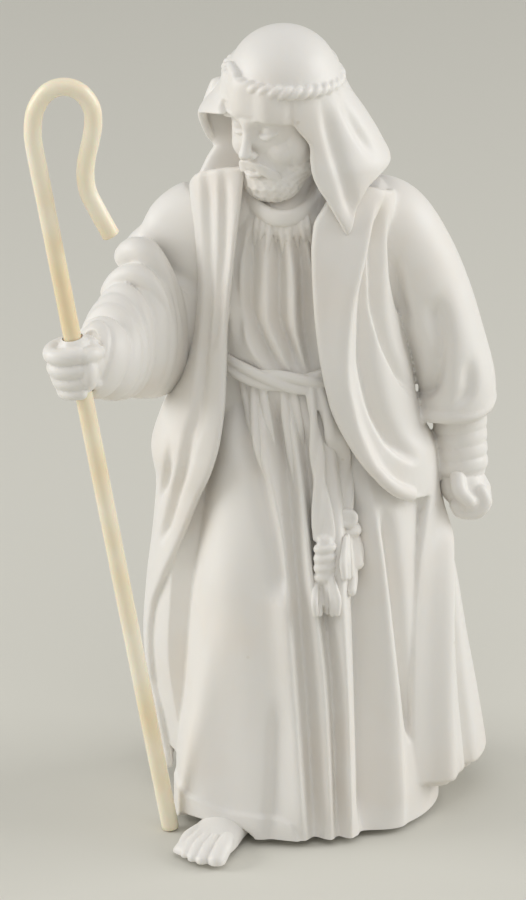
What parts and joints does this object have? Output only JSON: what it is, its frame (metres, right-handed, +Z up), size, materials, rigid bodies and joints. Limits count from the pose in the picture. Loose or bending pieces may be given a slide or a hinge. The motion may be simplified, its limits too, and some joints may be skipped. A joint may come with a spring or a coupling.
{
  "type": "nativity shepherd figurine",
  "caption": "Standing robed shepherd figurine in white bisque porcelain with head cloth, long coat and sashed tunic, holding a separate cream crook in the right fist.",
  "frame": {"origin": "on the ground, on the figure's flat underside, below the neck", "axes": "+Z up, the figure faces -Y, +X is the figure's own left side"},
  "size_m": [0.0897, 0.0685, 0.159],
  "materials": {
    "bisque": "matte",
    "crook": "gloss"
  },
  "bodies": {
    "root": {"shepherd_figure": "bisque", "crook": "crook"}
  },
  "joints": []
}
